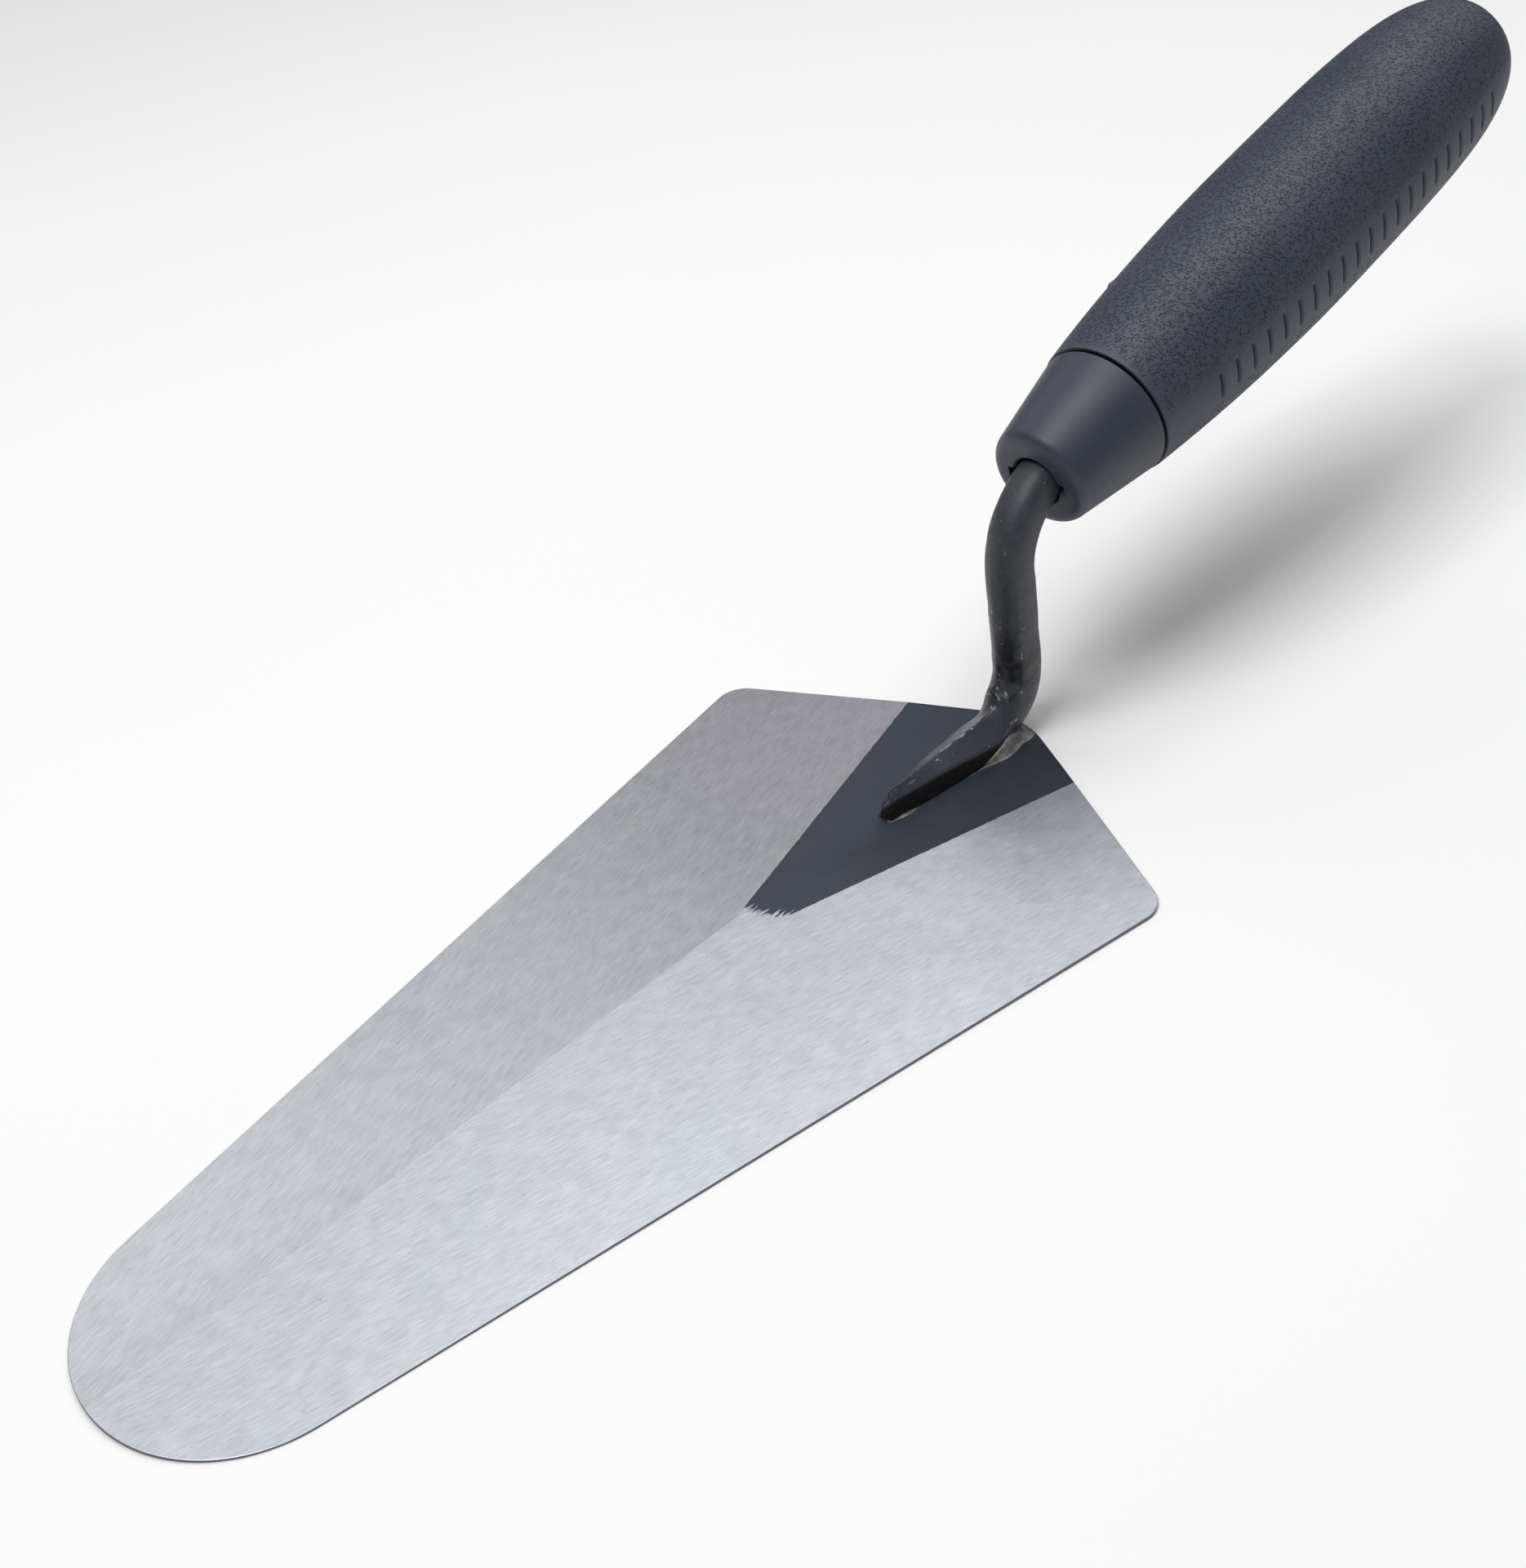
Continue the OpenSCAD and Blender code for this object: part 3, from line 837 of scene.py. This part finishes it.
def room_to_heel(point, direction):
    """How far a point can move over the blade before it reaches the heel's edge."""
    edge = Vector((HEEL_HALF_W, HEEL_DEPTH)).normalized()
    room = (HEEL_TIP * edge.x) - (point.x * edge.x + abs(point.y) * edge.y)
    speed = direction.x * edge.x + abs(direction.y) * edge.y
    if speed < 0.05:
        return math.inf
    # The rounded point of the heel, for a way that leaves between its two straight edges
    start = Vector((point.x - HEEL_TIP + HEEL_R / edge.x, point.y))
    way = Vector((direction.x, direction.y))
    end = start + way * (room / speed)
    if abs(end.y) * edge.x > end.x * edge.y:
        return room / speed
    half = start.dot(way)
    return math.sqrt(half * half + HEEL_R ** 2 - start.length_squared) - half


def weld():
    bm = bmesh.new()
    steps = 10
    rings = []
    for point, out, high, wide in foot_track():
        wide = min(wide, room_to_heel(point, out) - HEEL_MARGIN)
        inner = point - WELD_LAP * out
        ring = [inner + Vector((0, 0, -WELD_SINK)), inner + Vector((0, 0, high))]
        for k in range(steps + 1):
            t = k / steps
            lift = high * (1 - t) ** WELD_CURL - WELD_SINK / 2
            ring.append(point + out * (wide * t) + Vector((0, 0, lift)))
        ring.append(point + out * wide + Vector((0, 0, -WELD_SINK)))
        rings.append([to_row(p) for p in ring])
    loft(bm, rings)
    shade_smooth(bm)
    return piece("weld_fillet", bm, "weld_bead", weld_metal())


def weld_metal():
    made, nodes = material("weld_metal")
    place = tool_position(nodes)
    x, y, _ = nodes.separate(place)
    mottle = nodes.noise(place, 0.7, 3.0, 0.6)
    ripple = nodes.noise(place, 2.5, 2.0, 0.5)
    stained = nodes.mix(nodes.ramp(mottle, 0.35, 0.65), *STAINED_WELD)
    bare_and_sheen = nodes.mix(nodes.ramp(mottle, 0.35, 0.65), *BARE_WELD_AND_PAINTED_SHEEN)
    # The weld is as dark as the lacquer along the right side from x 147.5 to 160.5, and on the
    # nose's left side.
    darkened = nodes.times(nodes.ramp(x, 147.5, 149.5), nodes.ramp(x, 160.5, 158.0))
    left_nose = nodes.times(nodes.ramp(x, 150, 148), nodes.ramp(y, -0.8, 0.2))
    darkened = nodes.math("MAXIMUM", darkened, left_nose)
    # Behind the foot the weld turns light grey: bare weld metal, with a painted sheen.
    colour = nodes.mix(nodes.ramp(x, 163.5, 168.0), stained, bare_and_sheen)
    colour = nodes.mix(darkened, colour, LACQUER_DARK_WELD)
    normal = nodes.bump(mottle, 0.04 * MM, 0.6)
    normal = nodes.bump(ripple, 0.02 * MM, 0.5, normal)
    show(nodes, nodes.add("ShaderNodeBsdfPrincipled", {"Base Color": colour, "Metallic": 0.35,
        "Roughness": nodes.ramp(mottle, 0.3, 0.7, 0.36, 0.5), "Normal": normal}))
    return made


# ---------------------------------------------------------------- collar

def collar_profile():
    """The collar's closed section: front face, lip, flank, seam, spigot pocket and hole."""
    slope = (COLLAR_R[0] - COLLAR_R[1]) / COLLAR_L
    flank = math.atan(slope)
    front = -COLLAR_L
    lip = (front + LIP_R, COLLAR_R[1] + slope * LIP_R - LIP_R / math.cos(flank))
    seam_r = SEAM_ROUND
    seam = (-SEAM_GAP - seam_r, COLLAR_R[0] - seam_r - slope * seam_r)
    profile = [(front, r) for r in spread(HOLE_R + HOLE_CHAMFER, lip[1], 4)]
    profile += arc(lip, LIP_R, math.pi, math.pi / 2 + flank, 14)
    start = profile.pop()
    end = (seam[0] - seam_r * math.sin(flank), seam[1] + seam_r * math.cos(flank))
    profile += zip(spread(start[0], end[0], 24), spread(start[1], end[1], 24))
    profile += arc(seam, seam_r, math.pi / 2 + flank, 0, 6)
    profile += [(-SEAM_GAP, SPIGOT_R), (-SPIGOT_L, SPIGOT_R), (-SPIGOT_L, HOLE_R),
        (front + HOLE_CHAMFER, HOLE_R)]
    return profile


def slot_cutter():
    """A bar that cuts the slot for the tang's ears across the collar."""
    bm = bmesh.new()
    half_w, half_h = EAR_SLOT[0] / 2 - EAR_SLOT_R, EAR_SLOT[1] / 2 - EAR_SLOT_R
    past_front, past_pocket = 1, 0.5
    quarter = math.pi / 2
    section = []
    for k, (sign_y, sign_h) in enumerate(((1, 1), (-1, 1), (-1, -1), (1, -1))):
        section += arc((sign_y * half_w, sign_h * half_h), EAR_SLOT_R, k * quarter,
            (k + 1) * quarter, 4)
    loft(bm, [[to_row(SEAM + s * HANDLE_AXIS + y * LEFT + h * HANDLE_UP) for y, h in section]
        for s in (-COLLAR_L - past_front, -SPIGOT_L + past_pocket)])
    return mesh_object("slot_cutter", bm)


def collar():
    bm = bmesh.new()
    profile, sides, rim_width = collar_profile(), 128, 0.18
    loft(bm, [[to_row(on_handle(s, r, a)) for s, r in profile]
        for a in spread(0, 2 * math.pi, sides)], closed=True)
    obj = piece("handle_collar", bm, "collar", collar_plastic())
    cutter = slot_cutter()
    cut = obj.modifiers.new("slot", "BOOLEAN")
    cut.object = cutter
    cut.operation = "DIFFERENCE"
    cut.solver = "EXACT"
    soften = obj.modifiers.new("soften", "BEVEL")
    soften.width = rim_width * MM
    soften.segments = 2
    soften.limit_method = "ANGLE"
    soften.angle_limit = math.radians(50)
    apply_modifiers(obj)
    bpy.data.objects.remove(cutter)
    obj.data.shade_smooth()
    obj.data.set_sharp_from_angle(angle=math.radians(40))
    return obj


def behind_seam(nodes, place):
    """How far a point lies behind the seam, along the handle."""
    return nodes.vector("DOT_PRODUCT", nodes.vector("SUBTRACT", place, tuple(SEAM)),
        tuple(HANDLE_AXIS))


def collar_plastic():
    made, nodes = material("moulded_collar_plastic")
    place = tool_position(nodes)
    cloud = nodes.noise(place, 0.12, 2.0, 0.5)
    fine = nodes.noise(place, 6.0, 3.0, 0.6)
    colour = nodes.mix(nodes.ramp(fine, 0.3, 0.7), *COLLAR_COLOUR)
    colour = nodes.mix(nodes.ramp(behind_seam(nodes, place), -0.32, -0.18), colour, SEAM_SHADE)
    rough = nodes.plus(nodes.ramp(cloud, 0.3, 0.7, 0.38, 0.46), nodes.times(fine, 0.06))
    normal = nodes.bump(fine, 0.012 * MM, 0.6)
    show(nodes, nodes.add("ShaderNodeBsdfPrincipled",
        {"Base Color": colour, "Roughness": rough, "Normal": normal}))
    return made


def core_plastic():
    made, nodes = material("core_plastic")
    place = tool_position(nodes)
    fine = nodes.noise(place, 4.0, 3.0, 0.6)
    colour = nodes.mix(nodes.ramp(fine, 0.3, 0.7), *CORE_COLOUR)
    normal = nodes.bump(fine, 0.02 * MM, 0.6)
    show(nodes, nodes.add("ShaderNodeBsdfPrincipled", {"Base Color": colour,
        "Roughness": nodes.ramp(fine, 0.3, 0.7, 0.45, 0.55), "Normal": normal}))
    return made


# ---------------------------------------------------------------- grip

def grip_stations():
    """Distances behind the seam for the grip's rings, closer together at each groove."""
    rim = SEAM_GAP + SEAM_ROUND
    start = DASH_START - DASH_PITCH / 2
    stations = spread(SEAM_GAP, rim, 5) + spread(rim, start, 24)
    gap = (DASH_PITCH - DASH_W) / 2
    for _ in range(DASHES):
        end = start + DASH_PITCH
        stations += spread(start, start + gap, 4)
        stations += spread(start + gap, end - gap, 8)
        stations += spread(end - gap, end, 4)
        start = end
    butt_steps = 44
    return stations + [start + (GRIP_L - start) * math.sin(math.pi / 2 * i / butt_steps)
        for i in range(butt_steps + 1)]


def grip_angles():
    """Angles round the grip from its top to the right, closer together over the plain band."""
    sides, crowding, width = 240, 1.2, 22
    middle = math.degrees(BAND_ANGLE)
    weights = [1 / (1 + crowding * math.exp(-((a - middle) / width) ** 2)) for a in range(360)]
    angles, walked, a = [], 0.0, 0
    for target in spread(0, sum(weights), sides):
        while walked + weights[a] <= target:
            walked += weights[a]
            a += 1
        angles.append(math.radians(a + (target - walked) / weights[a]))
    return angles


def dash_depth(s, angle):
    """Depth of the row of identical moulded grooves on the grip's right-hand side."""
    k = round((s - DASH_START) / DASH_PITCH)
    if not 0 <= k < DASHES:
        return 0.0
    behind = abs(s - DASH_START - k * DASH_PITCH)
    beside = abs(angle - BAND_ANGLE) * GRIP_R[1]
    inner_fade, outer_fade = 0.45, 0.15
    across = 1 - smooth(DASH_W / 4, DASH_W / 2, behind)
    ends = 1 - smooth(DASH_L / 2 - inner_fade, DASH_L / 2 + outer_fade, beside)
    return DASH_DEPTH * across * ends


def skin_share(s, angle):
    """How much of the moulded texture shows: none at the seam and little along the band."""
    least = 0.12
    ragged = 0.48 * noise.noise(Vector((s * 0.8, angle * 9, 1.0)))
    seam = smooth(0.4, 2.0, s + ragged)
    beside = abs(angle - BAND_ANGLE) * GRIP_R[1]
    band = smooth(2.6, 5.2, beside + 2 * ragged)
    return seam * (least + (1 - least) * band)


def grip():
    bm = bmesh.new()
    stations, angles = grip_stations(), grip_angles()
    rings, share, dark = [], [], []
    for s in stations:
        base = max(grip_radius(s), 0.02)
        from_edge = min(1.0, (s - SEAM_GAP) / SEAM_ROUND)
        base -= SEAM_ROUND * (1 - math.sqrt(1 - (1 - from_edge) ** 2))
        ring = []
        for a in angles:
            r = base - dash_depth(s, a)
            nub = math.hypot((s - NUB_S) / NUB_SIZE[0],
                (a - NUB_ANGLE) * GRIP_R[1] / NUB_SIZE[1])
            r += NUB_H * math.exp(-nub ** 2)
            r += 0.06 * noise.noise(Vector((s * 0.05, math.cos(a) * 1.2, math.sin(a) * 1.2)))
            ring.append(to_row(on_handle(s, r, a)))
            share.append(skin_share(s, a))
            dark.append(dash_depth(s, a) / DASH_DEPTH)
        rings.append(ring)
    loft(bm, rings)
    shade_smooth(bm)
    obj = piece("grip_rubber_sleeve", bm, "grip_sleeve", grip_rubber())
    for name, values in (("skin", share), ("dash", dark)):
        obj.data.attributes.new(name, "FLOAT", "POINT").data.foreach_set("value", values)
    engrave(obj)
    return obj


def skin_pattern(nodes, place, edge):
    """The grip's moulded texture: 1 inside its short curling grooves and 0 between them."""
    warp = nodes.noise(place, 1.15, 1.0, 0.4)
    way = (HANDLE_AXIS * 0.75 + LEFT * 0.66) * (2 * math.pi / SKIN_PITCH)
    curl, floor_start = 20.0, 0.80    # in radians, and as a cosine
    phase = nodes.plus(nodes.vector("DOT_PRODUCT", place, tuple(way)), nodes.times(warp, curl))
    groove = nodes.ramp(nodes.math("COSINE", phase), floor_start - edge, floor_start)
    elsewhere = nodes.vector("ADD", place, (31.0, 17.0, 5.0))
    gaps = nodes.ramp(nodes.noise(elsewhere, 1.7, 0.0, 0.5), 0.40, 0.52)
    return nodes.times(groove, gaps)


def engrave(obj):
    """Presses the grip's moulded texture into its mesh."""
    tree = bpy.data.node_groups.new("engrave", "GeometryNodeTree")
    for way in ("INPUT", "OUTPUT"):
        tree.interface.new_socket("Geometry", in_out=way, socket_type="NodeSocketGeometry")
    nodes = Nodes(tree)
    source = nodes.add("NodeGroupInput").outputs[0]
    here = nodes.add("GeometryNodeInputPosition").outputs[0]
    place = nodes.vector("SCALE", nodes.vector("SUBTRACT", here, (toe_x, 0, blade_top)), 1 / MM)
    share = nodes.add("GeometryNodeInputNamedAttribute", {"Name": "skin"},
        data_type="FLOAT").outputs[0]
    pressed = nodes.times(skin_pattern(nodes, place, 0.45), share)
    drop = nodes.times(pressed, -SKIN_DEPTH * MM)
    offset = nodes.vector("SCALE", nodes.add("GeometryNodeInputNormal").outputs[0], drop)
    moved = nodes.add("GeometryNodeSetPosition", {"Geometry": source, "Offset": offset})
    nodes.add("NodeGroupOutput", {0: moved.outputs[0]})
    obj.modifiers.new("engrave", "NODES").node_group = tree
    apply_modifiers(obj)


def grip_rubber():
    made, nodes = material("soft_grip_rubber")
    place = tool_position(nodes)
    share = vertex_value(nodes, "skin")
    strokes = nodes.times(skin_pattern(nodes, place, 0.85), share)
    fine = nodes.noise(place, 5.0, 3.0, 0.65)
    cloud = nodes.noise(place, 0.06, 3.0, 0.5)
    ground = nodes.mix(nodes.ramp(cloud, 0.35, 0.65), *GRIP_COLOUR)
    # Painted shade darkens the texture's grooves.
    colour = nodes.mix(nodes.times(strokes, 0.85), ground, SKIN_GROOVE_PAINTED_SHADE)
    dash = vertex_value(nodes, "dash")
    colour = nodes.mix(nodes.ramp(dash, 0.2, 0.8), colour, DASH_SHADE)
    colour = nodes.mix(nodes.ramp(behind_seam(nodes, place), 0.32, 0.18), colour, SEAM_SHADE)
    rough = nodes.plus(0.46, nodes.times(fine, 0.14))
    normal = nodes.bump(fine, 0.02 * MM, 0.6)
    normal = nodes.bump(strokes, -0.17 * MM, 1.0, normal)
    show(nodes, nodes.add("ShaderNodeBsdfPrincipled",
        {"Base Color": colour, "Roughness": rough, "Normal": normal}))
    return made


# ---------------------------------------------------------------- stage

def floor():
    bm = bmesh.new()
    half = 2.5
    corners = [(-half, -half), (half, -half), (half, half), (-half, half)]
    bm.faces.new([bm.verts.new((x, y, 0)) for x, y in corners])
    obj = mesh_object("floor", bm)
    made, nodes = material("pale_floor")
    place = tool_position(nodes)
    drift = nodes.noise(place, 0.01, 2.0, 0.5)
    colour = nodes.mix(drift, grey(0.93), grey(0.95))
    show(nodes, nodes.add("ShaderNodeBsdfPrincipled", {"Base Color": colour, "Roughness": 0.9}))
    obj.data.materials.append(made)


def area_light(name, towards, distance, size, power):
    """A square light that hangs in a direction from the tool's middle and faces it."""
    data = bpy.data.lights.new(name, "AREA")
    data.shape = "SQUARE"
    data.size = size
    data.energy = power
    obj = in_scene(name, data)
    way = Vector(towards).normalized()
    obj.location = way * distance
    obj.rotation_euler = way.to_track_quat("Z", "Y").to_euler()


def world():
    made = bpy.data.worlds.new("studio")
    made.use_nodes = True
    background = made.node_tree.nodes["Background"]
    background.inputs["Color"].default_value = (1, 1, 1, 1)
    background.inputs["Strength"].default_value = WORLD_STRENGTH
    bpy.context.scene.world = made


def camera():
    """The camera stands over the toe's right-hand side and looks back along the tool."""
    azimuth, elevation, roll = math.radians(-132.65), math.radians(38.09), math.radians(5.61)
    distance = 328.7
    target = Vector((137.7, 21.06, 0))
    back = Vector((math.cos(elevation) * math.cos(azimuth),
        math.cos(elevation) * math.sin(azimuth), math.sin(elevation)))
    right = Vector((0, 0, 1)).cross(back).normalized()
    down = right.cross(back)
    turned = right * math.cos(roll) + down * math.sin(roll)
    under = down * math.cos(roll) - right * math.sin(roll)
    data = bpy.data.cameras.new("camera")
    data.sensor_width = 36.0
    data.lens = 46.875
    data.clip_start = 0.01
    obj = in_scene("camera", data)
    place = to_row(target + back * distance)
    obj.matrix_world = Matrix.Translation(place) \
        @ Matrix((turned, -under, back)).transposed().to_4x4()
    bpy.context.scene.camera = obj


blade()
tang()
weld()
collar()
grip()
core = frame["nodes"]["handle_core"]
core.data.materials.clear()
core.data.materials.append(core_plastic())

floor()
world()
for lamp, settings in LAMPS.items():
    area_light(lamp, *settings)
camera()
bpy.context.scene.view_settings.view_transform = "Standard"
